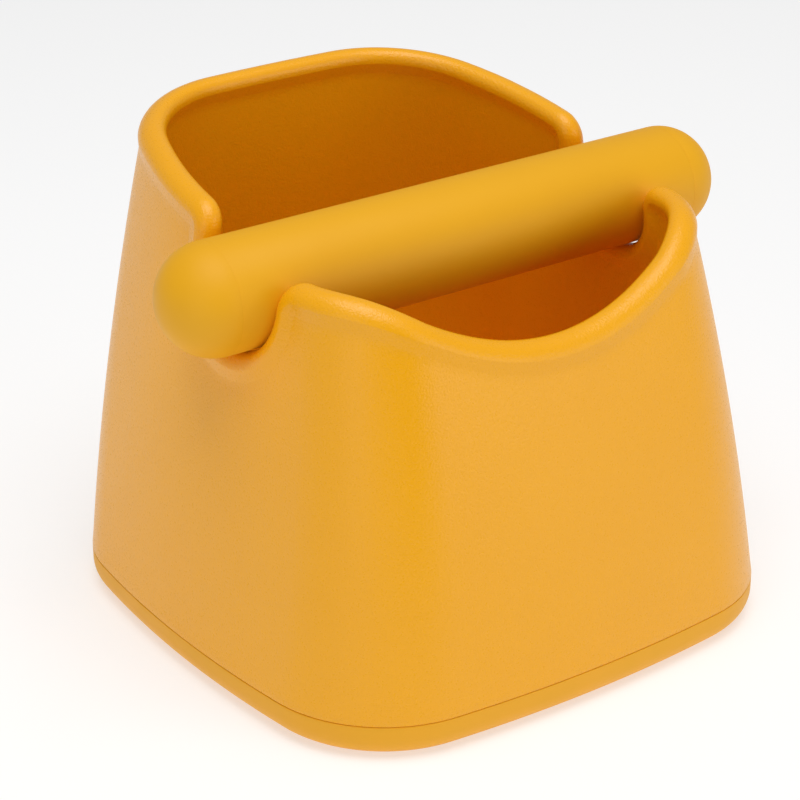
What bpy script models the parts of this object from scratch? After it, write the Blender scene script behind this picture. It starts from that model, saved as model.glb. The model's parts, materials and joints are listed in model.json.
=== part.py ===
"""Espresso knock box: a tapered tub, a soft base boot and a lift-out knock bar.

Frame: +X runs along the bar, the scooped front faces -Y, the high splash wall
stands at +Y and +Z is up. The origin is the middle of the boot's underside.
All dimensions below are millimetres; meshes are written in metres.
"""
import math

import bmesh
import bpy
from mathutils import Vector

MM = 0.001

# Tub: plan outline at the seam, and how it draws in with height.
SEAM_Z = 9.8
HALF_WIDTH = 80.0
HALF_DEPTH = 79.2
CORNER_RADIUS = 37.0
SIDE_ARC_END = math.radians(7.3)
CORNER_ARC_END = math.radians(83.8)
TAPER_STEP = 100.0
SIDE_TAPER = (15.8, 0.0)
FRONT_TAPER = (10.3, 10.8)
REAR_TAPER = (-10.9, 12.4)
FRONT_CORNER_TAPER = 11.2
REAR_CORNER_TAPER = 0.3
FRONT_SIDE_GROWTH = math.radians(-0.5)
REAR_SIDE_GROWTH = math.radians(9.6)
FRONT_END_GROWTH = math.radians(-2.0)
REAR_END_GROWTH = math.radians(-3.3)

# Tub: wall, rim bead and floor.
WALL = 5.2
RIM_RADIUS = 3.8
LIP_OUT = 0.9
LIP_DEPTH = 5.0
LIP_BLEND = 2.5
TUB_BOTTOM_Z = 10.0
FLOOR_TOP_Z = 13.0
FLOOR_UNDER_Z = 9.8
FLOOR_FILLET = 9.0
SPIGOT_INSET = 4.3
SPIGOT_WALL = 3.0
SPIGOT_BOTTOM_Z = 3.6

# Rim line: the rear edge slopes down to the saddles, the front is scooped.
REAR_RIM_Z = 135.4
REAR_RIM_Y = 72.0
REAR_RIM_SLOPE = 0.139
REAR_RIM_SAG = 0.0004
HORN_Z = 116.2
SCOOP_Z = 97.7
SCOOP_CURVE = 0.0074
SCOOP_BLEND = 8.0
HORN_FILLET = 8.3
EAR_FILLET = 7.6
HORN_FRONT_Y = -36.0
EAR_REAR_Y = 30.0
CREST_ROUNDS = 8

# Base boot: a soft pan pressed over the spigot.
BOOT_TOP_Z = 9.6
BOOT_WALL = 4.0
BOOT_FLOOR = 3.3
BOOT_BAND_Z = 6.3
BOOT_TOE_IN = 7.0

# Knock bar: steel core, silicone sleeve and two domed end caps.
BAR_Y = -8.9
BAR_Z = 107.8
BAR_SHIFT = 3.0
BAR_RADIUS = 15.0
BAR_HALF = 88.5
DOME = 14.5
CORE_RADIUS = 9.0
CORE_HALF = 60.0
CAP_STEM = 14.0
CAP_STEM_TIP = 1.0
GAP = 0.3

# Mesh fineness.
WALL_ROWS = 4
ROUND_STEPS = 3
SADDLE_STEPS = 12
FILLET_STEPS = 4
CORNER_STEPS = 6
END_STEPS = 4
TURN_STEPS = 32
DOME_STEPS = 6

YELLOW_ABS = (0.80, 0.44, 0.025, 1.0)
YELLOW_RUBBER = (0.72, 0.38, 0.02, 1.0)
YELLOW_SILICONE = (0.80, 0.45, 0.02, 1.0)
STEEL = (0.55, 0.55, 0.56, 1.0)


def clear_scene():
    """Remove every object that is already in the scene."""
    for obj in list(bpy.data.objects):
        bpy.data.objects.remove(obj, do_unlink=True)


def new_collection(name):
    """Make a collection under the scene and return it."""
    collection = bpy.data.collections.new(name)
    bpy.context.scene.collection.children.link(collection)
    return collection


def add_material(obj, color, roughness, metallic=0.0):
    """Give an object a Principled material of its own."""
    material = bpy.data.materials.new(obj.name + "_finish")
    material.use_nodes = True
    shader = material.node_tree.nodes["Principled BSDF"]
    shader.inputs["Base Color"].default_value = color
    shader.inputs["Roughness"].default_value = roughness
    shader.inputs["Metallic"].default_value = metallic
    obj.data.materials.append(material)


def arc_ends(z, front):
    """Normal angles where the side arc and the corner of a quarter end at height z."""
    t = (z - SEAM_Z) / TAPER_STEP
    side_growth = FRONT_SIDE_GROWTH if front else REAR_SIDE_GROWTH
    end_growth = FRONT_END_GROWTH if front else REAR_END_GROWTH
    return SIDE_ARC_END + side_growth * t, CORNER_ARC_END - end_growth * t


def quarter_arcs(z, front):
    """Half-width, centre and radii of a quarter of the tub's plan at height z."""
    t = (z - SEAM_Z) / TAPER_STEP
    half_width = HALF_WIDTH - SIDE_TAPER[0] * t - SIDE_TAPER[1] * t * t
    front_y = HALF_DEPTH - FRONT_TAPER[0] * t - FRONT_TAPER[1] * t * t
    rear_y = HALF_DEPTH - REAR_TAPER[0] * t - REAR_TAPER[1] * t * t
    half_depth = (front_y + rear_y) / 2.0
    corner = CORNER_RADIUS - (FRONT_CORNER_TAPER if front else REAR_CORNER_TAPER) * t
    side_end, corner_end = arc_ends(z, front)
    c1, s1 = math.cos(side_end), math.sin(side_end)
    c2, s2 = math.cos(corner_end), math.sin(corner_end)
    across = half_width - corner * (c1 - c2)
    along = half_depth - corner * (s2 - s1)
    det = (1.0 - c1) * (1.0 - s2) - c2 * s1
    side_radius = (across * (1.0 - s2) - c2 * along) / det
    end_radius = ((1.0 - c1) * along - s1 * across) / det
    return half_width, (rear_y - front_y) / 2.0, side_radius, corner, end_radius


def outline_point(angle, z, inset=0.0):
    """Point of the plan outline whose outward normal makes this angle with +X."""
    front = angle < 0.0
    half_width, centre_y, side_radius, corner, end_radius = quarter_arcs(z, front)
    side_end, corner_end = arc_ends(z, front)
    turn = abs(angle)
    c1, s1 = math.cos(side_end), math.sin(side_end)
    c2, s2 = math.cos(corner_end), math.sin(corner_end)
    if turn <= side_end:
        x = half_width - side_radius * (1.0 - math.cos(turn))
        y = side_radius * math.sin(turn)
    elif turn <= corner_end:
        x = half_width - side_radius * (1.0 - c1) - corner * (c1 - math.cos(turn))
        y = side_radius * s1 + corner * (math.sin(turn) - s1)
    else:
        x = half_width - side_radius * (1.0 - c1) - corner * (c1 - c2)
        x -= end_radius * (c2 - math.cos(turn))
        y = side_radius * s1 + corner * (s2 - s1) + end_radius * (math.sin(turn) - s2)
    x -= inset * math.cos(turn)
    y -= inset * math.sin(turn)
    return Vector((x, centre_y + (-y if front else y), z))


def slide(angle, z, distance):
    """Normal angle after a walk along the outline, rearwards if the distance is positive."""
    front = angle < 0.0
    _, _, side_radius, corner, end_radius = quarter_arcs(z, front)
    side_end, corner_end = arc_ends(z, front)
    turn = abs(angle)
    run = side_radius * min(turn, side_end)
    run += corner * min(max(turn - side_end, 0.0), corner_end - side_end)
    run += end_radius * max(turn - corner_end, 0.0)
    run = (-run if front else run) + distance
    front = run < 0.0
    _, _, side_radius, corner, end_radius = quarter_arcs(z, front)
    side_end, corner_end = arc_ends(z, front)
    first = side_radius * side_end
    second = corner * (corner_end - side_end)
    left = abs(run)
    turn = min(left, first) / side_radius
    turn += min(max(left - first, 0.0), second) / corner
    turn += max(left - first - second, 0.0) / end_radius
    return -turn if front else turn


def foot_point(angle, z, inset):
    """Point below the seam, where the walls run straight down."""
    point = outline_point(angle, SEAM_Z, inset)
    return Vector((point.x, point.y, z))


def angle_at_y(y, z):
    """Normal angle of the side wall's or corner's point that has this y."""
    _, centre_y, _, _, _ = quarter_arcs(z, True)
    front = y < centre_y
    _, _, side_radius, corner, _ = quarter_arcs(z, front)
    side_end, _ = arc_ends(z, front)
    away = abs(y - centre_y)
    bend = side_radius * math.sin(side_end)
    if away < bend:
        turn = math.asin(away / side_radius)
    else:
        turn = math.asin(min(math.sin(side_end) + (away - bend) / corner, 1.0))
    return -turn if front else turn


def front_rim_z(x):
    """Crest height of the scooped front rim, blended into the level of the horns."""
    scoop = SCOOP_Z + SCOOP_CURVE * x * x
    blend = max(SCOOP_BLEND - abs(HORN_Z - scoop), 0.0)
    return min(scoop, HORN_Z) - blend * blend / (4.0 * SCOOP_BLEND)


def rear_rim_z(y):
    """Crest height of the sloping, slightly sagging rear rim."""
    back = REAR_RIM_Y - y
    return REAR_RIM_Z - (REAR_RIM_SLOPE + REAR_RIM_SAG * back) * back


def arc_points(centre, radius, start, end, steps):
    """Points (y, z) along an arc, both ends included."""
    points = []
    for i in range(steps + 1):
        a = start + (end - start) * i / steps
        points.append((centre[0] + radius * math.cos(a), centre[1] + radius * math.sin(a)))
    return points


def saddle_profile():
    """Side view (y, z) of the rim from the horn, through the bar's saddle, to the ear."""
    half = BAR_RADIUS + GAP
    horn = (BAR_Y - half - HORN_FILLET, HORN_Z - HORN_FILLET)
    ear_y = BAR_Y + half + EAR_FILLET
    slope = math.atan(REAR_RIM_SLOPE + 2.0 * REAR_RIM_SAG * (REAR_RIM_Y - ear_y))
    ear = (ear_y, rear_rim_z(ear_y) - EAR_FILLET / math.cos(slope))
    points = [(HORN_FRONT_Y, HORN_Z)]
    points += arc_points(horn, HORN_FILLET, math.pi / 2.0, 0.0, FILLET_STEPS)
    points += arc_points((BAR_Y, BAR_Z), half, math.pi, 2.0 * math.pi, SADDLE_STEPS)
    points += arc_points(ear, EAR_FILLET, math.pi, math.pi / 2.0 + slope, FILLET_STEPS)
    points.append((EAR_REAR_Y, rear_rim_z(EAR_REAR_Y)))
    return points


def corner_turn(step, z, front, start):
    """Normal angle of a step from the start angle round a corner, then along the end."""
    _, corner_end = arc_ends(z, front)
    if step <= CORNER_STEPS:
        return start + (corner_end - start) * step / CORNER_STEPS
    return corner_end + (math.pi / 2.0 - corner_end) * (step - CORNER_STEPS) / END_STEPS


def corner_stations(front, start):
    """Stations from the saddle's start angle round a corner to the middle."""
    stations = []
    side = -1.0 if front else 1.0
    for step in range(1, CORNER_STEPS + END_STEPS + 1):
        foot = corner_turn(step, SEAM_Z, front, SIDE_ARC_END)
        z = HORN_Z if front else REAR_RIM_Z
        for _ in range(CREST_ROUNDS):
            turn = corner_turn(step, z, front, start)
            place = outline_point(side * turn, z)
            z = front_rim_z(place.x) if front else rear_rim_z(place.y)
        stations.append([side * turn, side * foot, None, z])
    return stations


def rim_stations():
    """Stations of the right half rim, front middle to rear middle.

    Each is (wall angle at the rim, wall angle at the foot, y or None, crest z).
    Stations in the saddle carry their own y, and their feet are spread evenly.
    """
    saddle = saddle_profile()
    stations = corner_stations(True, -angle_at_y(*saddle[0]))[::-1]
    lengths = [0.0]
    for a, b in zip(saddle, saddle[1:]):
        lengths.append(lengths[-1] + math.hypot(b[0] - a[0], b[1] - a[1]))
    for (y, z), length in zip(saddle, lengths):
        foot = SIDE_ARC_END * (2.0 * length / lengths[-1] - 1.0)
        stations.append([angle_at_y(y, z), foot, y, z])
    return stations + corner_stations(False, angle_at_y(*saddle[-1]))


def rim_normals(stations):
    """Unit direction (along the wall, up) that points out of the rim at each station."""
    places = [outline_point(station[0], station[3]).xy for station in stations]
    last = len(stations) - 1
    normals = []
    for i in range(last + 1):
        before, after = max(i - 1, 0), min(i + 1, last)
        along = (places[after] - places[before]).length
        if stations[before][2] is not None and stations[after][2] is not None:
            along = stations[after][2] - stations[before][2]
        rise = stations[after][3] - stations[before][3]
        if i in (0, last):
            rise = 0.0
        size = math.hypot(along, rise)
        normals.append((-rise / size, along / size))
    return normals


def rim_place(station, normal, depth):
    """Wall angle and height this deep below the crest, measured in the wall."""
    angle, _, y, crest_z = station
    z = crest_z - depth * normal[1]
    if y is not None:
        own_y = y - depth * normal[0]
        own = angle_at_y(own_y, z)
        return angle_at_y(own_y + (RIM_RADIUS - LIP_OUT) * math.sin(own), z), z
    return slide(angle, z, -depth * normal[0]), z


def bead_rows():
    """(depth below crest, inset from the wall's outer face) of the rim bead, outside to inside."""
    mid = RIM_RADIUS - LIP_OUT
    rows = [(LIP_DEPTH + LIP_BLEND, 0.0), (LIP_DEPTH, -LIP_OUT)]
    for i in range(2 * ROUND_STEPS + 1):
        a = math.pi / 2.0 * (1.0 - i / ROUND_STEPS)
        rows.append((RIM_RADIUS * (1.0 - math.cos(a)), mid - RIM_RADIUS * math.sin(a)))
    rows += [(LIP_DEPTH, mid + RIM_RADIUS), (LIP_DEPTH + LIP_BLEND, WALL)]
    return rows


def tub_columns():
    """Points of each station from the underside's edge, over the rim, to the floor's edge."""
    stations = rim_stations()
    normals = rim_normals(stations)
    columns = []
    for station, normal in zip(stations, normals):
        foot = station[1]
        column = [
            foot_point(foot, FLOOR_UNDER_Z, SPIGOT_INSET + SPIGOT_WALL),
            foot_point(foot, SPIGOT_BOTTOM_Z, SPIGOT_INSET + SPIGOT_WALL),
            foot_point(foot, SPIGOT_BOTTOM_Z, SPIGOT_INSET),
            foot_point(foot, TUB_BOTTOM_Z, SPIGOT_INSET),
        ]
        knee_angle, knee_z = rim_place(station, normal, LIP_DEPTH + LIP_BLEND)
        floor_z = FLOOR_TOP_Z + FLOOR_FILLET
        for i in range(WALL_ROWS):
            v = i / WALL_ROWS
            angle = foot + (knee_angle - foot) * v
            column.append(outline_point(angle, TUB_BOTTOM_Z + (knee_z - TUB_BOTTOM_Z) * v))
        for depth, inset in bead_rows():
            column.append(outline_point(*rim_place(station, normal, depth), inset))
        for i in range(WALL_ROWS - 1, -1, -1):
            v = i / WALL_ROWS
            angle = foot + (knee_angle - foot) * v
            column.append(outline_point(angle, floor_z + (knee_z - floor_z) * v, WALL))
        for i in range(1, ROUND_STEPS + 1):
            a = math.pi / 2.0 * i / ROUND_STEPS
            drop = FLOOR_FILLET * math.sin(a)
            inset = WALL + FLOOR_FILLET * (1.0 - math.cos(a))
            column.append(outline_point(foot, floor_z - drop, inset))
        columns.append(column)
    return columns


def mesh_from_columns(name, columns, collection):
    """Half shell through the columns, its two flat ends closed, mirrored across x = 0."""
    mesh = bpy.data.meshes.new(name)
    obj = bpy.data.objects.new(name, mesh)
    collection.objects.link(obj)
    work = bmesh.new()
    grid = [[work.verts.new(point * MM) for point in column] for column in columns]
    for near, far in zip(grid, grid[1:]):
        for j in range(len(near) - 1):
            work.faces.new((near[j], far[j], far[j + 1], near[j + 1]))
    work.faces.new([column[0] for column in reversed(grid)])
    work.faces.new([column[-1] for column in grid])
    for column in (grid[0], grid[-1]):
        for vert in column:
            vert.co.x = 0.0
    bmesh.ops.recalc_face_normals(work, faces=work.faces)
    work.to_mesh(mesh)
    work.free()
    mirror = obj.modifiers.new("other_half", "MIRROR")
    mirror.use_clip = True
    mirror.merge_threshold = 0.00001
    mesh.shade_smooth()
    mesh.set_sharp_from_angle(angle=math.radians(40.0))
    return obj


def build_tub(collection):
    """The moulded tub with its bead rim, saddles, scooped front and spigot."""
    obj = mesh_from_columns("tub_shell", tub_columns(), collection)
    add_material(obj, YELLOW_ABS, 0.42)


def build_boot(collection):
    """The soft base boot: a shallow pan that the tub's spigot presses into."""
    rows = [(0.0, BOOT_TOE_IN)]
    for i in range(1, ROUND_STEPS + 1):
        a = math.pi / 2.0 * i / ROUND_STEPS
        rows.append((BOOT_BAND_Z * (1.0 - math.cos(a)), BOOT_TOE_IN * (1.0 - math.sin(a))))
    rows += [(BOOT_TOP_Z, 0.0), (BOOT_TOP_Z, BOOT_WALL), (BOOT_FLOOR, BOOT_WALL)]
    columns = []
    for station in rim_stations():
        columns.append([foot_point(station[1], z, inset) for z, inset in rows])
    obj = mesh_from_columns("base_boot", columns, collection)
    add_material(obj, YELLOW_RUBBER, 0.7)


def bar_axis_empty():
    """Empty on the bar's axis that carries every piece of the bar."""
    empty = bpy.data.objects.new("bar_axis", None)
    empty.location = Vector((BAR_SHIFT, BAR_Y, BAR_Z)) * MM
    bpy.context.scene.collection.objects.link(empty)
    return empty


def turned_piece(name, profile, collection, parent):
    """Turn an (along, radius) profile about the bar's axis with a Screw modifier."""
    mesh = bpy.data.meshes.new(name)
    obj = bpy.data.objects.new(name, mesh)
    collection.objects.link(obj)
    verts = [(radius * MM, 0.0, along * MM) for along, radius in profile]
    edges = [(i, i + 1) for i in range(len(verts) - 1)]
    if profile[0][1] > 0.0:
        edges.append((len(verts) - 1, 0))
    mesh.from_pydata(verts, edges, [])
    obj.rotation_euler = (0.0, math.pi / 2.0, 0.0)
    obj.parent = parent
    screw = obj.modifiers.new("turned", "SCREW")
    screw.steps = TURN_STEPS
    screw.render_steps = TURN_STEPS
    screw.use_merge_vertices = True
    screw.merge_threshold = 0.00001
    screw.use_smooth_shade = True
    return obj


def build_bar(collection):
    """The knock bar: core, sleeve and the two domed caps, all about one axis."""
    axis = bar_axis_empty()
    bpy.ops.mesh.primitive_cylinder_add(
        vertices=TURN_STEPS, radius=CORE_RADIUS * MM, depth=2.0 * CORE_HALF * MM)
    core = bpy.context.object
    core.name = "bar_core"
    core.data.name = "bar_core"
    for owner in list(core.users_collection):
        owner.objects.unlink(core)
    collection.objects.link(core)
    core.rotation_euler = (0.0, math.pi / 2.0, 0.0)
    core.parent = axis
    core.data.shade_smooth()
    core.data.set_sharp_from_angle(angle=math.radians(40.0))
    add_material(core, STEEL, 0.35, 1.0)

    sleeve_half = BAR_HALF - DOME
    bore = CORE_RADIUS + GAP
    profile = [
        (sleeve_half, BAR_RADIUS), (-sleeve_half, BAR_RADIUS),
        (-sleeve_half, bore), (sleeve_half, bore),
    ]
    sleeve = turned_piece("bar_sleeve", profile, collection, axis)
    add_material(sleeve, YELLOW_SILICONE, 0.55)

    base = sleeve_half + GAP
    dome_length = BAR_HALF - base
    profile = [(BAR_HALF, 0.0)]
    for i in range(1, DOME_STEPS + 1):
        a = math.pi / 2.0 * i / DOME_STEPS
        profile.append((base + dome_length * math.cos(a), BAR_RADIUS * math.sin(a)))
    tip = base - CAP_STEM
    profile += [
        (base, CORE_RADIUS), (tip + CAP_STEM_TIP, CORE_RADIUS),
        (tip, CORE_RADIUS - CAP_STEM_TIP), (tip, 0.0),
    ]
    for name, turn in (("bar_end_cap_right", math.pi / 2.0), ("bar_end_cap_left", -math.pi / 2.0)):
        cap = turned_piece(name, profile, collection, axis)
        cap.rotation_euler = (0.0, turn, 0.0)
        add_material(cap, YELLOW_SILICONE, 0.55)


def main():
    """Build the whole knock box."""
    clear_scene()
    collection = new_collection("espresso_knock_box")
    build_tub(collection)
    build_boot(collection)
    build_bar(collection)


main()
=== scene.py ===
"""Espresso knock box: the finished surfaces of the tub, its base boot and the knock bar.

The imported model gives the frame: +X along the bar, -Y towards the scooped front, +Z up, with the
origin under the middle of the boot. The pieces' sizes are in millimetres; meshes and the studio
are in metres.
"""

import json
import logging
import math
from dataclasses import dataclass, field
from enum import Enum
from typing import Sequence

import bpy
import numpy as np
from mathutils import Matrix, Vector


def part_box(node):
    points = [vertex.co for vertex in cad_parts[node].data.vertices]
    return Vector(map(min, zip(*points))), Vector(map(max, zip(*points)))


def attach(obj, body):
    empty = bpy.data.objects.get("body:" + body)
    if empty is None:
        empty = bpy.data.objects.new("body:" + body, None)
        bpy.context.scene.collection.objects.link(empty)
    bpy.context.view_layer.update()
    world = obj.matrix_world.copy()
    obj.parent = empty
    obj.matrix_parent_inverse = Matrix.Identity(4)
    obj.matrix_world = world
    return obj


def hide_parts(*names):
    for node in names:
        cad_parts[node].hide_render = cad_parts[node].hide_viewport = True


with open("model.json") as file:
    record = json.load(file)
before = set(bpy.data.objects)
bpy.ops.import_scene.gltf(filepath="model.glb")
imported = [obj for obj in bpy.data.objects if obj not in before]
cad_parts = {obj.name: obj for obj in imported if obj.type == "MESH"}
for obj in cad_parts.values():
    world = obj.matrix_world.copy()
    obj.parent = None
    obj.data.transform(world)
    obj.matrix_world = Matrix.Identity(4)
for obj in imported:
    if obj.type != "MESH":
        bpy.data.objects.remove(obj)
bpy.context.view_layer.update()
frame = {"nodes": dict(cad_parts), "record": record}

MM = 0.001
QUARTER_TURN = math.pi / 2.0
SHARP_ANGLE = math.radians(50.0)
WELD_DISTANCE = 0.01 * MM
LOG = logging.getLogger("knock_box")


class Rides(Enum):
    """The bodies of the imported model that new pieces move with."""

    TUB = "tub"
    GRIP = "bar_grip"


class Slot(Enum):
    """The record's material slots; the pieces here are given their finishes directly."""

    TUB = "tub"
    BOOT = "boot"
    SLEEVE = "sleeve"
    END_CAPS = "end_caps"


def linear_from_hex(code: str) -> tuple[float, float, float, float]:
    """Turn an sRGB hex colour into linear values.

    Args:
        code: Six hex digits, with or without a leading #.

    Returns:
        Linear red, green and blue, and an alpha of 1.
    """
    values = []
    for start in (0, 2, 4):
        part = int(code.lstrip("#")[start:start + 2], 16) / 255.0
        values.append(part / 12.92 if part <= 0.04045 else ((part + 0.055) / 1.055) ** 2.4)
    return values[0], values[1], values[2], 1.0


def add_node(
    tree: bpy.types.NodeTree,
    kind: str,
    settings: dict | None = None,
    inputs: dict | None = None,
) -> bpy.types.Node:
    """Add a node with its settings, socket values and links.

    Args:
        tree: The node tree to add to.
        kind: The node's type name.
        settings: Node attributes by name.
        inputs: Socket values by name or index; an output socket given here is linked.

    Returns:
        The new node.
    """
    node = tree.nodes.new(kind)
    for name, value in (settings or {}).items():
        setattr(node, name, value)
    for key, value in (inputs or {}).items():
        if isinstance(value, bpy.types.NodeSocket):
            tree.links.new(value, node.inputs[key])
        else:
            node.inputs[key].default_value = value
    return node


@dataclass(frozen=True)
class Finish:
    """A surface finish. Subclasses add the nodes that the surface needs.

    The IOR is for plastics and rubbers; a metal keeps the shader's own.
    """

    name: str
    color_hex: str
    roughness: float
    ior: float = 1.5
    metallic: float = 0.0

    def material(self) -> bpy.types.Material:
        """Make the node material of this finish.

        Returns:
            The new material.
        """
        material = bpy.data.materials.new(self.name)
        material.use_nodes = True
        tree = material.node_tree
        shader = tree.nodes["Principled BSDF"]
        shader.inputs["Base Color"].default_value = linear_from_hex(self.color_hex)
        shader.inputs["Roughness"].default_value = self.roughness
        shader.inputs["Metallic"].default_value = self.metallic
        if self.metallic == 0.0:
            shader.inputs["IOR"].default_value = self.ior
        self.surface(tree, shader)
        return material

    def surface(self, tree: bpy.types.NodeTree, shader: bpy.types.Node) -> None:
        """Add the finish's own nodes; the plain finish adds none."""

    def dress(self, piece: bpy.types.Object) -> None:
        """Give a piece this finish."""
        piece.data.materials.clear()
        piece.data.materials.append(self.material())


@dataclass(frozen=True)
class SparkErodedABS(Finish):
    """ABS moulded against a spark-eroded tool.

    The fine pebble of the tool breaks highlights into a soft satin and shows at their edges.
    """

    # A real pebble is 0.1 to 0.3 mm across and some 0.02 mm high. It is too fine to show in
    # the render, so it is drawn this coarse.
    grain_mm: float = 0.6
    grain_height_mm: float = 0.15
    # The pigment drifts a little as the melt flows, over a few centimetres.
    mottle_mm: float = 28.0
    mottle_hex: str = "#F7AC06"
    gloss_drift: float = 0.04

    def surface(self, tree: bpy.types.NodeTree, shader: bpy.types.Node) -> None:
        """Pebble bump, a faint drift of colour and a little drift of gloss.

        Args:
            tree: The material's nodes.
            shader: The Principled shader.
        """
        place = add_node(tree, "ShaderNodeTexCoord")
        pebble = add_node(
            tree, "ShaderNodeTexNoise", {"noise_dimensions": "3D"},
            {"Vector": place.outputs["Object"], "Scale": 1.0 / (self.grain_mm * MM),
             "Detail": 2.0, "Roughness": 0.55})
        bump = add_node(
            tree, "ShaderNodeBump", None,
            {"Height": pebble.outputs["Fac"], "Strength": 1.0,
             "Distance": self.grain_height_mm * MM})
        drift = add_node(
            tree, "ShaderNodeTexNoise", {"noise_dimensions": "3D"},
            {"Vector": place.outputs["Object"], "Scale": 1.0 / (self.mottle_mm * MM),
             "Detail": 3.0, "Roughness": 0.5})
        tint = add_node(
            tree, "ShaderNodeMix", {"data_type": "RGBA"},
            {0: drift.outputs["Fac"], 6: linear_from_hex(self.color_hex),
             7: linear_from_hex(self.mottle_hex)})
        gloss = add_node(
            tree, "ShaderNodeMapRange", None,
            {"Value": pebble.outputs["Fac"], "From Min": 0.3, "From Max": 0.7,
             "To Min": self.roughness - self.gloss_drift,
             "To Max": self.roughness + self.gloss_drift})
        tree.links.new(bump.outputs["Normal"], shader.inputs["Normal"])
        tree.links.new(tint.outputs[2], shader.inputs["Base Color"])
        tree.links.new(gloss.outputs["Result"], shader.inputs["Roughness"])


@dataclass(frozen=True)
class SatinRubber(Finish):
    """Moulded silicone or soft rubber with a satin tool finish.

    Almost no grain shows; a soft uneven sheen tells it from the hard tub.
    """

    # The tool is finely blasted, so the grain is low and only softens the sheen.
    grain_mm: float = 0.4
    grain_height_mm: float = 0.004
    # Handling and bloom cloud the surface over a centimetre or two.
    cloud_mm: float = 14.0
    cloud_hex: str = "#ECAA06"
    gloss_drift: float = 0.03

    def surface(self, tree: bpy.types.NodeTree, shader: bpy.types.Node) -> None:
        """Very fine bump and slow clouds of colour and gloss.

        Args:
            tree: The material's nodes.
            shader: The Principled shader.
        """
        place = add_node(tree, "ShaderNodeTexCoord")
        fine = add_node(
            tree, "ShaderNodeTexNoise", {"noise_dimensions": "3D"},
            {"Vector": place.outputs["Object"], "Scale": 1.0 / (self.grain_mm * MM),
             "Detail": 1.0})
        bump = add_node(
            tree, "ShaderNodeBump", None,
            {"Height": fine.outputs["Fac"], "Strength": 1.0,
             "Distance": self.grain_height_mm * MM})
        cloud = add_node(
            tree, "ShaderNodeTexNoise", {"noise_dimensions": "3D"},
            {"Vector": place.outputs["Object"], "Scale": 1.0 / (self.cloud_mm * MM),
             "Detail": 3.0})
        tint = add_node(
            tree, "ShaderNodeMix", {"data_type": "RGBA"},
            {0: cloud.outputs["Fac"], 6: linear_from_hex(self.color_hex),
             7: linear_from_hex(self.cloud_hex)})
        gloss = add_node(
            tree, "ShaderNodeMapRange", None,
            {"Value": cloud.outputs["Fac"], "From Min": 0.3, "From Max": 0.7,
             "To Min": self.roughness - self.gloss_drift,
             "To Max": self.roughness + self.gloss_drift})
        tree.links.new(bump.outputs["Normal"], shader.inputs["Normal"])
        tree.links.new(tint.outputs[2], shader.inputs["Base Color"])
        tree.links.new(gloss.outputs["Result"], shader.inputs["Roughness"])


@dataclass(frozen=True)
class DrawnSteel(Finish):
    """Cold-drawn steel rod.

    Fine lines along its length, left by the die, stretch its highlights round the rod.
    """

    # Real die lines are under 0.1 mm apart, too fine to show, so they are drawn this coarse.
    line_mm: float = 0.3
    line_height_mm: float = 0.01
    line_strength: float = 0.4
    stretch: float = 0.02
    dull_drift: float = 0.12
    bright_drift: float = 0.08

    def surface(self, tree: bpy.types.NodeTree, shader: bpy.types.Node) -> None:
        """Drawing lines in the bump and the gloss.

        Args:
            tree: The material's nodes.
            shader: The Principled shader.
        """
        place = add_node(tree, "ShaderNodeTexCoord")
        along = add_node(
            tree, "ShaderNodeMapping", None,
            {"Vector": place.outputs["Object"], "Scale": (self.stretch, 1.0, 1.0)})
        lines = add_node(
            tree, "ShaderNodeTexNoise", {"noise_dimensions": "3D"},
            {"Vector": along.outputs["Vector"], "Scale": 1.0 / (self.line_mm * MM)})
        bump = add_node(
            tree, "ShaderNodeBump", None,
            {"Height": lines.outputs["Fac"], "Strength": self.line_strength,
             "Distance": self.line_height_mm * MM})
        gloss = add_node(
            tree, "ShaderNodeMapRange", None,
            {"Value": lines.outputs["Fac"], "To Min": self.roughness - self.bright_drift,
             "To Max": self.roughness + self.dull_drift})
        tree.links.new(bump.outputs["Normal"], shader.inputs["Normal"])
        tree.links.new(gloss.outputs["Result"], shader.inputs["Roughness"])


@dataclass(frozen=True)
class GlowingTable(Finish):
    """Opal acrylic table lit from below, which keeps its white even and its shadows faint."""

    glow_hex: str = "#FFFFFF"
    glow: float = 0.5

    def surface(self, tree: bpy.types.NodeTree, shader: bpy.types.Node) -> None:
        """Let a little light through the table."""
        shader.inputs["Emission Color"].default_value = linear_from_hex(self.glow_hex)
        shader.inputs["Emission Strength"].default_value = self.glow


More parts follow.
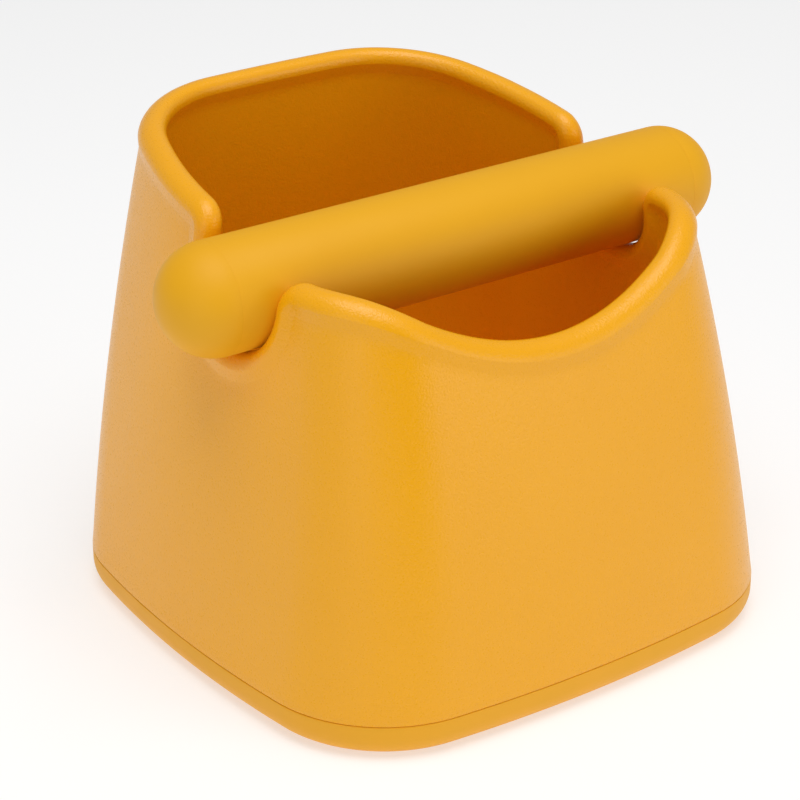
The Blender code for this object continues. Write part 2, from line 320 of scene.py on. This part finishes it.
@dataclass(frozen=True)
class TubPlan:
    """The tub's outline seen from above, at any height.

    Each quarter is three tangent arcs: a slack side arc, a corner and a slack end arc. Tapers
    are what a size loses over one step of height. Those of the side, the front and the rear
    have a plain and a squared part. The corner's taper and the growths of the arcs, in degrees
    a step, are for the front quarters and the rear ones.
    """

    seam_z: float = 9.8
    half_width: float = 80.0
    half_depth: float = 79.2
    corner_radius: float = 37.0
    side_arc_end: float = math.radians(7.3)
    corner_arc_end: float = math.radians(83.8)
    taper_step: float = 100.0
    side_taper: tuple[float, float] = (15.8, 0.0)
    front_taper: tuple[float, float] = (10.3, 10.8)
    rear_taper: tuple[float, float] = (-10.9, 12.4)
    corner_taper: tuple[float, float] = (11.2, 0.3)
    side_arc_growth: tuple[float, float] = (-0.5, 9.6)
    end_arc_growth: tuple[float, float] = (-2.0, -3.3)

    def arc_ends(self, z: np.ndarray, front: np.ndarray) -> tuple[np.ndarray, np.ndarray]:
        """Normal angles where the side arc and the corner end, in radians.

        Args:
            z: Heights.
            front: True where the quarter is one of the front ones.

        Returns:
            The side arc's end and the corner's end.
        """
        t = (z - self.seam_z) / self.taper_step
        side = np.radians(np.where(front, *self.side_arc_growth)) * t
        end = np.radians(np.where(front, *self.end_arc_growth)) * t
        return self.side_arc_end + side, self.corner_arc_end - end

    def arcs(self, z: np.ndarray, front: np.ndarray) -> tuple[np.ndarray, ...]:
        """Sizes of a quarter's arcs.

        Args:
            z: Heights.
            front: True where the quarter is one of the front ones.

        Returns:
            Half width, y of the widest line, side radius, corner radius and end radius.
        """
        t = (z - self.seam_z) / self.taper_step
        half_width = self.half_width - self.side_taper[0] * t - self.side_taper[1] * t * t
        front_y = self.half_depth - self.front_taper[0] * t - self.front_taper[1] * t * t
        rear_y = self.half_depth - self.rear_taper[0] * t - self.rear_taper[1] * t * t
        half_depth = (front_y + rear_y) / 2.0
        corner = self.corner_radius - np.where(front, *self.corner_taper) * t
        side_end, corner_end = self.arc_ends(z, front)
        c1, s1 = np.cos(side_end), np.sin(side_end)
        c2, s2 = np.cos(corner_end), np.sin(corner_end)
        across = half_width - corner * (c1 - c2)
        along = half_depth - corner * (s2 - s1)
        det = (1.0 - c1) * (1.0 - s2) - c2 * s1
        side = (across * (1.0 - s2) - c2 * along) / det
        end = ((1.0 - c1) * along - s1 * across) / det
        return half_width, (rear_y - front_y) / 2.0, side, corner, end

    def points(self, angle: np.ndarray, z: np.ndarray, inset: np.ndarray) -> np.ndarray:
        """Points on the right half of the outline.

        Args:
            angle: Angle of the outward normal from +X, from -90 to 90 degrees, in radians.
            z: Height of each point.
            inset: Distance inside the outline.

        Returns:
            An array of x, y, z rows.
        """
        angle, z, inset = np.broadcast_arrays(angle, z, inset)
        front = angle < 0.0
        half_width, centre_y, side, corner, end = self.arcs(z, front)
        side_end, corner_end = self.arc_ends(z, front)
        turn = np.abs(angle)
        c1, s1 = np.cos(side_end), np.sin(side_end)
        c2, s2 = np.cos(corner_end), np.sin(corner_end)
        cos, sin = np.cos(turn), np.sin(turn)
        x1, y1 = half_width - side * (1.0 - c1), side * s1
        x2, y2 = x1 - corner * (c1 - c2), y1 + corner * (s2 - s1)
        on_side, on_corner = turn <= side_end, turn <= corner_end
        x = np.where(on_side, half_width - side * (1.0 - cos),
                     np.where(on_corner, x1 - corner * (c1 - cos), x2 - end * (c2 - cos)))
        y = np.where(on_side, side * sin,
                     np.where(on_corner, y1 + corner * (sin - s1), y2 + end * (sin - s2)))
        x = x - inset * cos
        y = (y - inset * sin) * np.where(front, -1.0, 1.0) + centre_y
        return np.stack([x, y, z], axis=-1)

    def slide(self, angle: np.ndarray, z: np.ndarray, distance: np.ndarray) -> np.ndarray:
        """Walk along the outline, rearwards if the distance is positive.

        Args:
            angle: Normal angles to start from.
            z: Height of each outline.
            distance: How far to walk.

        Returns:
            Normal angles at the end of the walk.
        """
        def lengths(front: np.ndarray) -> tuple[np.ndarray, ...]:
            """Size up the arcs of a quarter.

            Args:
                front: True where the quarter is one of the front ones.

            Returns:
                Side, corner and end radius, side arc's and corner's end angle, and the length
                of the side arc and of the corner.
            """
            _, _, side, corner, end = self.arcs(z, front)
            side_end, corner_end = self.arc_ends(z, front)
            first = side * side_end
            return side, corner, end, side_end, corner_end, first, corner * (corner_end - side_end)

        side, corner, end, side_end, corner_end, _, _ = lengths(angle < 0.0)
        turn = np.abs(angle)
        run = (side * np.minimum(turn, side_end)
               + corner * np.clip(turn - side_end, 0.0, corner_end - side_end)
               + end * np.maximum(turn - corner_end, 0.0))
        run = np.sign(angle) * run + distance
        side, corner, end, side_end, corner_end, first, second = lengths(run < 0.0)
        left = np.abs(run)
        turn = (np.minimum(left, first) / side + np.clip(left - first, 0.0, second) / corner
                + np.maximum(left - first - second, 0.0) / end)
        return np.sign(run) * turn

    def angle_at_y(self, y: np.ndarray, z: np.ndarray) -> np.ndarray:
        """Find the place on the side wall or the corner by its y.

        Args:
            y: The y of each place.
            z: Height of each place.

        Returns:
            Normal angles.
        """
        _, centre_y, _, _, _ = self.arcs(z, np.True_)  # the same for front and rear
        front = y < centre_y
        _, _, side, corner, _ = self.arcs(z, front)
        side_end, _ = self.arc_ends(z, front)
        away = np.abs(y - centre_y)
        bend = side * np.sin(side_end)
        sine = np.where(away < bend, away / side, np.sin(side_end) + (away - bend) / corner)
        return np.where(front, -1.0, 1.0) * np.arcsin(np.clip(sine, 0.0, 1.0))


def smooth_object(name: str, verts: np.ndarray,
                  faces: Sequence[Sequence[int]]) -> bpy.types.Object:
    """Make a smooth-shaded mesh object.

    Args:
        name: The piece's name.
        verts: Points in millimetres.
        faces: Point indices of each face.

    Returns:
        The new object, linked to the scene.
    """
    mesh = bpy.data.meshes.new(name)
    mesh.from_pydata((verts * MM).tolist(), [], [list(face) for face in faces])
    mesh.update()
    mesh.shade_smooth()
    mesh.set_sharp_from_angle(angle=SHARP_ANGLE)
    piece = bpy.data.objects.new(name, mesh)
    bpy.context.scene.collection.objects.link(piece)
    return piece


def ring_shell(name: str, half: np.ndarray) -> bpy.types.Object:
    """Close a ring of columns into one solid.

    Args:
        name: The piece's name.
        half: Points by station, front middle to rear middle of the right side, and by row.

    Returns:
        The mirrored and capped solid; both ends of its rows are closed with fans.
    """
    half[0, :, 0] = 0.0
    half[-1, :, 0] = 0.0
    left = half[-2:0:-1] * np.array([-1.0, 1.0, 1.0])
    ring = np.concatenate([half, left])
    stations, rows = ring.shape[:2]
    verts = ring.reshape(-1, 3)
    faces = []
    for i in range(stations):
        k = (i + 1) % stations
        for j in range(rows - 1):
            faces.append((i * rows + j, k * rows + j, k * rows + j + 1, i * rows + j + 1))
    for row, forward in ((0, False), (rows - 1, True)):
        centre = ring[:, row].mean(axis=0)
        middle = len(verts)
        verts = np.vstack([verts, centre])
        for i in range(stations):
            a, b = i * rows + row, (i + 1) % stations * rows + row
            faces.append((a, b, middle) if forward else (b, a, middle))
    return smooth_object(name, verts, faces)


def eased(steps: int) -> np.ndarray:
    """Values from 0 to 1 that start and end gently."""
    return 0.5 - 0.5 * np.cos(np.linspace(0.0, math.pi, steps + 1))


@dataclass
class Tub:
    """The moulded tub: bowed walls, bead rim, bar saddles, scooped front and spigot."""

    plan: TubPlan = field(default_factory=TubPlan)
    wall: float = 5.2
    rim_radius: float = 3.8
    lip_out: float = 0.9
    lip_depth: float = 4.0
    lip_blend: float = 3.5
    bottom_z: float = 10.0
    edge_radius: float = 0.4
    floor_top_z: float = 13.0
    floor_under_z: float = 9.8
    floor_fillet: float = 9.0
    spigot_inset: float = 4.3
    spigot_wall: float = 3.0
    spigot_bottom_z: float = 3.6
    rear_rim_z: float = 135.4
    rear_rim_y: float = 72.0
    rear_rim_slope: float = 0.139
    rear_rim_sag: float = 0.0004
    horn_z: float = 116.2
    scoop_z: float = 97.7
    scoop_curve: float = 0.0074
    scoop_blend: float = 8.0
    horn_fillet: float = 8.3
    ear_fillet: float = 7.6
    saddle_gap: float = 0.3
    horn_front_y: float = -36.0
    ear_rear_y: float = 30.0
    wall_rows: int = 44
    round_steps: int = 8
    lip_steps: int = 6
    edge_steps: int = 4
    floor_fillet_steps: int = 9
    floor_shares: tuple[float, float] = (0.9, 0.5)
    saddle_steps: int = 44
    fillet_steps: int = 14
    flat_steps: int = 5
    ramp_steps: int = 15
    corner_steps: int = 30
    end_steps: int = 26
    crest_rounds: int = 8

    def front_rim(self, x: np.ndarray) -> np.ndarray:
        """Crest height of the scooped front rim, easing into the level of the horns.

        Args:
            x: Distances from the middle of the tub.

        Returns:
            Crest heights.
        """
        scoop = self.scoop_z + self.scoop_curve * x * x
        blend = np.maximum(self.scoop_blend - np.abs(self.horn_z - scoop), 0.0)
        return np.minimum(scoop, self.horn_z) - blend * blend / (4.0 * self.scoop_blend)

    def rear_rim(self, y: np.ndarray) -> np.ndarray:
        """Crest height of the sloping, slightly sagging rear rim."""
        back = self.rear_rim_y - y
        return self.rear_rim_z - (self.rear_rim_slope + self.rear_rim_sag * back) * back

    def saddle_profile(self, bar_y: float, bar_z: float, bar_radius: float) -> np.ndarray:
        """Side view of the rim from the front of a horn, through the saddle, to the ear.

        Args:
            bar_y: The bar axis's y.
            bar_z: The bar axis's height.
            bar_radius: The bar's radius.

        Returns:
            Rows of y and z.
        """
        half = bar_radius + self.saddle_gap
        ear_y = bar_y + half + self.ear_fillet
        grade = self.rear_rim_slope + 2.0 * self.rear_rim_sag * (self.rear_rim_y - ear_y)
        slope = math.atan(grade)
        ear_z = float(self.rear_rim(np.array(ear_y))) - self.ear_fillet / math.cos(slope)
        horn_y = bar_y - half - self.horn_fillet

        def arc(y: float, z: float, r: float, start: float, end: float, steps: int) -> np.ndarray:
            """Points of an arc, both ends included."""
            a = np.linspace(start, end, steps + 1)
            return np.stack([y + r * np.cos(a), z + r * np.sin(a)], axis=-1)

        flat = np.linspace(self.horn_front_y, horn_y, self.flat_steps + 1)[:-1]
        ramp_y = ear_y - self.ear_fillet * math.sin(slope)
        ramp = np.linspace(ramp_y, self.ear_rear_y, self.ramp_steps + 1)[1:]
        return np.vstack([
            np.stack([flat, np.full_like(flat, self.horn_z)], axis=-1),
            arc(horn_y, self.horn_z - self.horn_fillet, self.horn_fillet, QUARTER_TURN, 0.0,
                self.fillet_steps),
            arc(bar_y, bar_z, half, math.pi, 2.0 * math.pi, self.saddle_steps),
            arc(ear_y, ear_z, self.ear_fillet, math.pi, QUARTER_TURN + slope,
                self.fillet_steps),
            np.stack([ramp, self.rear_rim(ramp)], axis=-1),
        ])

    def stations(self, saddle: np.ndarray) -> np.ndarray:
        """Stations round the right half of the rim.

        Args:
            saddle: Side view of the saddle, from saddle_profile.

        Returns:
            Rows of rim angle, foot angle, y (nan outside the saddle) and crest height.
        """
        plan = self.plan
        rim_angle = plan.angle_at_y(saddle[:, 0], saddle[:, 1])
        corner, end = self.corner_steps, self.end_steps
        corner_share = np.minimum(np.arange(1, corner + end + 1) / corner, 1.0)
        end_share = np.maximum(np.arange(1 - corner, end + 1) / end, 0.0)

        def turns(level: np.ndarray, front: bool, start: float) -> np.ndarray:
            """Share out the stations round the corner and along the end.

            Args:
                level: Height of each station.
                front: True for the front corner.
                start: Normal angle where the stations start.

            Returns:
                Normal angles, as for a rear corner.
            """
            _, corner_end = plan.arc_ends(level, np.array(front))
            return (start + (corner_end - start) * corner_share
                    + (QUARTER_TURN - corner_end) * end_share)

        seam = np.full_like(end_share, plan.seam_z)
        front_z = np.full_like(end_share, self.horn_z)
        rear_z = np.full_like(end_share, self.rear_rim_z)
        # The crest's height moves the arcs' ends, and they move the crest, so both settle.
        for _ in range(self.crest_rounds):
            front = -turns(front_z, True, -rim_angle[0])
            rear = turns(rear_z, False, rim_angle[-1])
            front_z = self.front_rim(plan.points(front, front_z, 0.0)[:, 0])
            rear_z = self.rear_rim(plan.points(rear, rear_z, 0.0)[:, 1])
        front_foot = -turns(seam, True, plan.side_arc_end)
        rear_foot = turns(seam, False, plan.side_arc_end)
        blank = np.full_like(front, np.nan)
        run = np.concatenate([[0.0], np.cumsum(np.hypot(*np.diff(saddle, axis=0).T))])
        foot = plan.side_arc_end * (2.0 * run / run[-1] - 1.0)
        return np.vstack([
            np.stack([front, front_foot, blank, front_z], axis=-1)[::-1],
            np.stack([rim_angle, foot, saddle[:, 0], saddle[:, 1]], axis=-1),
            np.stack([rear, rear_foot, blank, rear_z], axis=-1),
        ])

    def rim_normals(self, stations: np.ndarray) -> np.ndarray:
        """Find the way out of the rim at each station.

        Args:
            stations: The rim's stations.

        Returns:
            Unit directions, as rows of run along the wall and rise.
        """
        places = self.plan.points(stations[:, 0], stations[:, 3], 0.0)[:, :2]
        before = np.maximum(np.arange(len(stations)) - 1, 0)
        after = np.minimum(before + 2, len(stations) - 1)
        along = np.linalg.norm(places[after] - places[before], axis=1)
        own = stations[after, 2] - stations[before, 2]
        along = np.where(np.isnan(own), along, own)
        rise = stations[after, 3] - stations[before, 3]
        rise[[0, -1]] = 0.0
        size = np.hypot(along, rise)
        return np.stack([-rise / size, along / size], axis=-1)

    def rim_place(self, stations: np.ndarray, normals: np.ndarray,
                  depth: float) -> tuple[np.ndarray, np.ndarray]:
        """Wall angle and height at a depth below the crest.

        Args:
            stations: The rim's stations.
            normals: The rim's directions in the wall.
            depth: Depth below the crest, measured in the wall.

        Returns:
            Wall angles and heights.
        """
        z = stations[:, 3] - depth * normals[:, 1]
        own_y = np.nan_to_num(stations[:, 2] - depth * normals[:, 0])
        moved = self.plan.slide(stations[:, 0], z, -depth * normals[:, 0])
        own = self.plan.angle_at_y(own_y, z)
        own = self.plan.angle_at_y(own_y + (self.rim_radius - self.lip_out) * np.sin(own), z)
        return np.where(np.isnan(stations[:, 2]), moved, own), z

    def bead_rows(self) -> list[tuple[float, float]]:
        """Lay out the bead from its outside to its inside.

        Returns:
            Depth below the crest and inset of each row.
        """
        mid = self.rim_radius - self.lip_out
        knee = self.lip_depth + self.lip_blend
        rows = []
        for s in eased(self.lip_steps)[:-1]:
            depth = knee - self.lip_blend * float(s)
            rows.append((depth, -self.lip_out * float(s)))
        rows.append((self.lip_depth, -self.lip_out))
        for a in np.linspace(QUARTER_TURN, -QUARTER_TURN, 2 * self.round_steps + 1):
            depth = self.rim_radius * (1.0 - math.cos(a))
            rows.append((depth, mid - self.rim_radius * math.sin(a)))
        inner = mid + self.rim_radius
        rows.append((self.lip_depth, inner))
        for s in eased(self.lip_steps)[1:]:
            rows.append((self.lip_depth + self.lip_blend * float(s),
                         inner + (self.wall - inner) * float(s)))
        return rows

    def columns(self, saddle: np.ndarray) -> np.ndarray:
        """Lay out the columns, from under the floor, over the rim, to the floor.

        Args:
            saddle: Side view of the saddle, from saddle_profile.

        Returns:
            Points by station and by row.
        """
        stations = self.stations(saddle)
        normals = self.rim_normals(stations)
        foot = stations[:, 1]
        seam = self.plan.seam_z

        def below(z: float, inset: float) -> np.ndarray:
            """Lay out a row below the seam, where the walls run straight down.

            Args:
                z: Height of the row.
                inset: Distance inside the outline.

            Returns:
                A point for each station.
            """
            row = self.plan.points(foot, np.full_like(foot, seam), inset)
            row[:, 2] = z
            return row

        inner = self.spigot_inset + self.spigot_wall
        rows = [
            below(self.floor_under_z, inner), below(self.spigot_bottom_z, inner),
            below(self.spigot_bottom_z, self.spigot_inset), below(self.bottom_z, self.spigot_inset),
        ]
        for a in np.linspace(0.0, QUARTER_TURN, self.edge_steps + 1):
            inset = self.edge_radius * (1.0 - math.sin(a))
            rows.append(below(self.bottom_z + self.edge_radius * (1.0 - math.cos(a)), inset))
        knee_angle, knee_z = self.rim_place(stations, normals, self.lip_depth + self.lip_blend)
        start_z = self.bottom_z + self.edge_radius
        for v in np.linspace(0.0, 1.0, self.wall_rows + 1)[1:-1]:
            angle = foot + (knee_angle - foot) * v
            rows.append(self.plan.points(angle, start_z + (knee_z - start_z) * v, 0.0))
        for depth, inset in self.bead_rows():
            rows.append(self.plan.points(*self.rim_place(stations, normals, depth), inset))
        floor_z = self.floor_top_z + self.floor_fillet
        for v in np.linspace(1.0, 0.0, self.wall_rows + 1)[1:]:
            angle = foot + (knee_angle - foot) * v
            rows.append(self.plan.points(angle, floor_z + (knee_z - floor_z) * v, self.wall))
        for a in np.linspace(0.0, QUARTER_TURN, self.floor_fillet_steps + 1)[1:]:
            inset = self.wall + self.floor_fillet * (1.0 - math.cos(a))
            z = np.full_like(foot, floor_z - self.floor_fillet * math.sin(a))
            rows.append(self.plan.points(foot, z, inset))
        last = rows[-1]
        for share in self.floor_shares:
            rows.append(last * np.array([share, share, 1.0]))
        return np.stack(rows, axis=1)

    def build(self, bar_axis: Vector, bar_radius: float) -> bpy.types.Object:
        """Build the tub round the place where the bar lies.

        Args:
            bar_axis: A point on the bar's axis, in metres.
            bar_radius: The bar's radius, in millimetres.

        Returns:
            The tub.
        """
        saddle = self.saddle_profile(bar_axis.y / MM, bar_axis.z / MM, bar_radius)
        piece = ring_shell("tub_moulding", self.columns(saddle))
        # Solid-coloured ABS: a warm, dense yellow that glows orange where it faces itself.
        SparkErodedABS("moulded_yellow_abs", "#FAB006", 0.30, ior=1.46).dress(piece)
        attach(piece, Rides.TUB.value)
        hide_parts("tub_shell")
        return piece


@dataclass
class Boot:
    """The soft base boot: a shallow pan with a turned-in lower edge."""

    plan: TubPlan = field(default_factory=TubPlan)
    top_z: float = 9.95
    wall: float = 4.0
    floor: float = 3.3
    band_z: float = 6.3
    toe_in: float = 7.0
    sole_inset: float = 11.2
    edge_radius: float = 0.4
    toe_steps: int = 12
    edge_steps: int = 4
    side_steps: int = 9
    corner_steps: int = 39
    end_steps: int = 25

    def rows(self) -> list[tuple[float, float]]:
        """Lay out the rows, from under the boot to its inner floor.

        Returns:
            Height and inset of each row.
        """
        rows = [(0.0, self.sole_inset)]
        for a in np.linspace(0.0, QUARTER_TURN, self.toe_steps + 1):
            rows.append((self.band_z * (1.0 - math.cos(a)), self.toe_in * (1.0 - math.sin(a))))
        for a in np.linspace(0.0, QUARTER_TURN, self.edge_steps + 1):
            rows.append((self.top_z - self.edge_radius * (1.0 - math.sin(a)),
                         self.edge_radius * (1.0 - math.cos(a))))
        rows += [(self.top_z, self.wall), (self.floor, self.wall)]
        return rows

    def build(self) -> bpy.types.Object:
        """Build the boot.

        Returns:
            The boot.
        """
        side_end, corner_end = self.plan.side_arc_end, self.plan.corner_arc_end
        turns = np.concatenate([
            np.linspace(0.0, side_end, self.side_steps + 1)[:-1],
            np.linspace(side_end, corner_end, self.corner_steps + 1)[:-1],
            np.linspace(corner_end, QUARTER_TURN, self.end_steps + 1),
        ])
        angles = np.concatenate([-turns[:0:-1], turns])
        level = np.full_like(angles, self.plan.seam_z)
        columns = []
        for z, inset in self.rows():
            row = self.plan.points(angles, level, inset)
            row[:, 2] = z
            columns.append(row)
        piece = ring_shell("base_boot_moulding", np.stack(columns, axis=1))
        # Soft rubber pigmented to match the tub: a shade duller, with no sparkle at its edge.
        SatinRubber("moulded_yellow_rubber", "#F5AC08", 0.50, ior=1.46).dress(piece)
        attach(piece, Rides.TUB.value)
        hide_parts("base_boot")
        return piece


def turned(name: str, profile: Sequence[tuple[float, float]], axis: Vector,
           facing: float = 1.0, steps: int = 96) -> bpy.types.Object:
    """Turn a closed profile about a line along X.

    Args:
        name: The piece's name.
        profile: Rows of distance along the axis and radius, in millimetres.
        axis: A point on the axis, in metres, where distance is zero.
        facing: 1 to point the profile along +X, -1 along -X.
        steps: Segments round the axis.

    Returns:
        The turned piece. Its object stands on the axis.
    """
    screw_mesh = bpy.data.meshes.new(name)
    verts = [(radius * MM, 0.0, along * MM) for along, radius in profile]
    edges = [(i, i + 1) for i in range(len(verts) - 1)]
    if profile[0][1] > 0.0:
        edges.append((len(verts) - 1, 0))
    screw_mesh.from_pydata(verts, edges, [])
    piece = bpy.data.objects.new(name, screw_mesh)
    bpy.context.scene.collection.objects.link(piece)
    piece.location = axis
    piece.rotation_euler = (0.0, facing * QUARTER_TURN, 0.0)
    screw = piece.modifiers.new("turned", "SCREW")
    screw.steps = steps
    screw.render_steps = steps
    screw.use_merge_vertices = True
    screw.merge_threshold = WELD_DISTANCE
    screw.use_smooth_shade = True
    depsgraph = bpy.context.evaluated_depsgraph_get()
    piece.data = bpy.data.meshes.new_from_object(piece.evaluated_get(depsgraph))
    piece.modifiers.clear()
    bpy.data.meshes.remove(screw_mesh)
    piece.data.name = name
    piece.data.shade_smooth()
    piece.data.set_sharp_from_angle(angle=SHARP_ANGLE)
    return piece


@dataclass
class KnockBar:
    """The padded bar: steel core, silicone sleeve and two domed caps."""

    axis: Vector
    radius: float
    half_length: float
    dome: float = 14.5
    core_radius: float = 9.0
    bore_gap: float = 0.3
    joint_gap: float = 0.01
    stem: float = 14.0
    stem_chamfer: float = 1.0
    edge_radius: float = 0.04
    edge_steps: int = 4
    dome_steps: int = 32

    @staticmethod
    def silicone(name: str) -> SatinRubber:
        """Solid-coloured silicone: an even, greener yellow with a broad, milky sheen."""
        return SatinRubber(name, "#EFAE06", 0.55, ior=1.41)

    def build_sleeve(self) -> bpy.types.Object:
        """Build the sleeve, with its ends just eased.

        Returns:
            The sleeve.
        """
        half = self.half_length - self.dome - self.joint_gap / 2.0
        bore = self.core_radius + self.bore_gap
        edge = self.edge_radius
        end = []
        for a in np.linspace(0.0, QUARTER_TURN, self.edge_steps + 1):
            end.append((half - edge * (1.0 - math.cos(a)),
                        self.radius - edge * (1.0 - math.sin(a))))
        profile = end + [(-along, radius) for along, radius in reversed(end)]
        profile += [(-half, bore), (half, bore)]
        piece = turned("bar_sleeve_silicone", profile, self.axis)
        self.silicone("moulded_yellow_silicone").dress(piece)
        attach(piece, Rides.GRIP.value)
        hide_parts("bar_sleeve")
        return piece

    def build_cap(self, side: str, facing: float) -> bpy.types.Object:
        """Build a domed cap with its stem.

        Args:
            side: "left" or "right".
            facing: 1 for the cap at +X, -1 for the one at -X.

        Returns:
            The cap.
        """
        base = self.half_length - self.dome + self.joint_gap / 2.0
        length = self.half_length - base
        profile = [(self.half_length, 0.0)]
        for a in np.linspace(0.0, QUARTER_TURN, self.dome_steps + 1)[1:]:
            profile.append((base + length * math.cos(a), self.radius * math.sin(a)))
        tip = base - self.stem
        chamfer = self.stem_chamfer
        profile += [(base, self.core_radius), (tip + chamfer, self.core_radius),
                    (tip, self.core_radius - chamfer), (tip, 0.0)]
        piece = turned(f"bar_cap_{side}", profile, self.axis, facing)
        self.silicone(f"moulded_silicone_cap_{side}").dress(piece)
        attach(piece, Rides.GRIP.value)
        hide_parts(f"bar_end_cap_{side}")
        return piece

    def dress_core(self) -> bpy.types.Object:
        """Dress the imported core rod, whose shape is already right.

        Returns:
            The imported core.
        """
        core = frame["nodes"]["bar_core"]
        # Bare bright steel: neutral grey, since it is never seen in use.
        DrawnSteel("drawn_steel", "#B9BABD", 0.32, metallic=1.0).dress(core)
        return core


@dataclass(frozen=True)
class SoftBox:
    """A rectangular studio light that faces a point. Its place, aim and size are in metres."""

    name: str
    place: tuple[float, float, float]
    aim: tuple[float, float, float]
    size: tuple[float, float]
    watts: float
    color_hex: str = "#FFFFFF"

    def build(self) -> bpy.types.Object:
        """Hang the light.

        Returns:
            The light's object.
        """
        light = bpy.data.lights.new(self.name, "AREA")
        light.shape = "RECTANGLE"
        light.size, light.size_y = self.size
        light.energy = self.watts
        light.color = linear_from_hex(self.color_hex)[:3]
        lamp = bpy.data.objects.new(self.name, light)
        bpy.context.scene.collection.objects.link(lamp)
        lamp.location = self.place
        towards = Vector(self.aim) - Vector(self.place)
        lamp.rotation_mode = "QUATERNION"
        lamp.rotation_quaternion = towards.to_track_quat("-Z", "Y")
        return lamp


@dataclass
class Studio:
    """Plain pale floor, soft light all round and the camera.

    Sizes are in metres, and azimuths are in degrees from -Y towards +X.
    """

    azimuth: float = -35.98
    elevation: float = 25.09
    distance: float = 0.67776
    target: tuple[float, float, float] = (-0.00755, -0.00158, 0.05969)
    lens: float = 111.5
    sensor: float = 36.0
    clip: tuple[float, float] = (0.01, 100.0)
    floor_radius: float = 40.0
    floor_sides: int = 64
    floor_hex: str = "#C4C4C4"
    sky: float = 0.34
    flag_azimuth: float = -12.0
    flag_distance: float = 0.55
    flag_lift: float = 0.001
    flag_size: tuple[float, float] = (0.24, 0.45)
    lights: tuple[SoftBox, ...] = (
        SoftBox("overhead_box", (-0.1, -0.25, 1.3), (0.0, 0.0, 0.06), (1.0, 1.0), 11.0),
        SoftBox("right_box", (0.56, -1.18, 0.36), (0.0, 0.0, 0.06), (0.6, 0.6), 2.1),
        SoftBox("left_box", (-1.15, -0.61, 0.4), (0.0, 0.0, 0.06), (0.35, 0.75), 1.25),
    )

    def build_floor(self) -> bpy.types.Object:
        """Lay the floor as one large disc.

        Returns:
            The floor.
        """
        turn = np.linspace(0.0, 2.0 * math.pi, self.floor_sides + 1)[:-1]
        rim = np.stack([np.cos(turn), np.sin(turn), np.zeros_like(turn)], axis=-1)
        verts = rim * self.floor_radius / MM
        # Opal acrylic with a fine matt face: a clean, even white that casts no image.
        floor = smooth_object("studio_floor", verts, [list(range(len(verts)))])
        GlowingTable("lit_white_acrylic", self.floor_hex, 0.75).dress(floor)
        return floor

    def build_flag(self) -> bpy.types.Object:
        """Stand a dark card on the floor, out of frame, to cut the light on one corner.

        Returns:
            The card.
        """
        half, height = self.flag_size[0] / 2.0, self.flag_size[1]
        verts = np.array([(-half, 0.0, 0.0), (half, 0.0, 0.0), (half, 0.0, height),
                          (-half, 0.0, height)]) / MM
        card = smooth_object("studio_flag", verts, [(0, 1, 2, 3)])
        turn = math.radians(self.flag_azimuth)
        card.location = (math.sin(turn) * self.flag_distance,
                         -math.cos(turn) * self.flag_distance, self.flag_lift)
        card.rotation_euler = (0.0, 0.0, turn)
        card.visible_camera = False
        Finish("black_felt", "#101010", 0.95).dress(card)
        return card

    def build_sky(self) -> None:
        """Even white light from all round."""
        world = bpy.data.worlds.new("white_tent")
        world.use_nodes = True
        background = world.node_tree.nodes["Background"]
        background.inputs["Color"].default_value = (1.0, 1.0, 1.0, 1.0)
        background.inputs["Strength"].default_value = self.sky
        bpy.context.scene.world = world

    def build_camera(self) -> bpy.types.Object:
        """Set up the camera at its viewing angle.

        Returns:
            The camera.
        """
        data = bpy.data.cameras.new("studio_camera")
        data.lens = self.lens
        data.sensor_width = self.sensor
        data.clip_start, data.clip_end = self.clip
        camera = bpy.data.objects.new("studio_camera", data)
        bpy.context.scene.collection.objects.link(camera)
        a, e = math.radians(self.azimuth), math.radians(self.elevation)
        back = Vector((math.sin(a) * math.cos(e), -math.cos(a) * math.cos(e), math.sin(e)))
        camera.location = Vector(self.target) + back * self.distance
        camera.rotation_mode = "QUATERNION"
        camera.rotation_quaternion = (-back).to_track_quat("-Z", "Y")
        bpy.context.scene.camera = camera
        return camera

    def build(self) -> None:
        """Set up floor, light and camera."""
        bpy.context.scene.view_settings.view_transform = "Standard"
        self.build_camera()
        self.build_floor()
        self.build_flag()
        self.build_sky()
        for light in self.lights:
            light.build()


def bar_from_frame() -> KnockBar:
    """Read the bar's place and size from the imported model.

    Returns:
        The bar, ready to build.
    """
    joints = frame["record"]["behaviour"]["joints"]
    roll = next(joint for joint in joints if joint["name"] == "bar_roll")
    low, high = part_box("bar_sleeve")
    _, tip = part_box("bar_end_cap_right")
    axis = Vector(roll["pos_m"])
    return KnockBar(axis, (high.z - low.z) / 2.0 / MM, (tip.x - axis.x) / MM)


def main() -> None:
    """Build the studio and every piece, in order."""
    logging.basicConfig(level=logging.INFO, format="%(message)s")
    Studio().build()
    bar = bar_from_frame()
    pieces = [
        Tub().build(bar.axis, bar.radius),
        Boot().build(),
        bar.dress_core(),
        bar.build_sleeve(),
        bar.build_cap("left", -1.0),
        bar.build_cap("right", 1.0),
    ]
    for piece in pieces:
        LOG.info("%s: %d faces", piece.name, len(piece.data.polygons))


if __name__ == "__main__":
    main()
